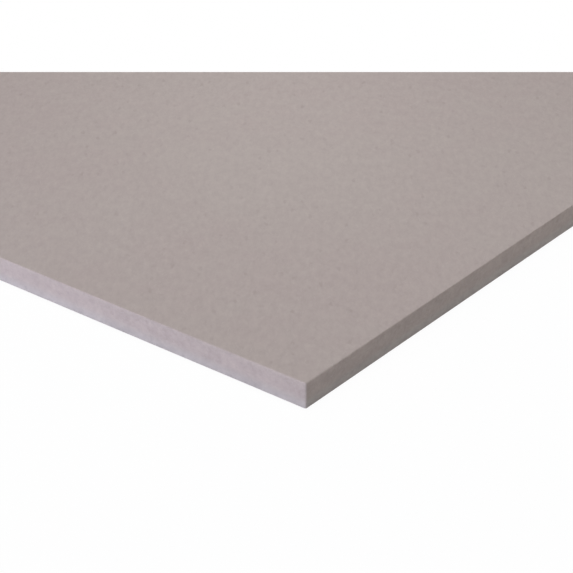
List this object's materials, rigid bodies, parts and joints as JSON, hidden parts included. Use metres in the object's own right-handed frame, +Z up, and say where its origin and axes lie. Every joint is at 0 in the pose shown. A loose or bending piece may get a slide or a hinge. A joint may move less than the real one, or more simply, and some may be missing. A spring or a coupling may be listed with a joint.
{
  "type": "natural fibre composite panel",
  "caption": "Flat rectangular sheet of natural fibre composite with a fine sanded taupe-grey face and lightly eased sawn edges, used for cladding, linings and joinery.",
  "frame": {"origin": "middle of the back face, on the surface the sheet lies on", "axes": "+X along the sheet's length, +Y across its width, +Z up out of the sanded face"},
  "size_m": [2.44, 1.22, 0.01],
  "materials": {
    "fibre_composite": "matte"
  },
  "bodies": {
    "root": {"composite_panel": "fibre_composite"}
  },
  "joints": []
}
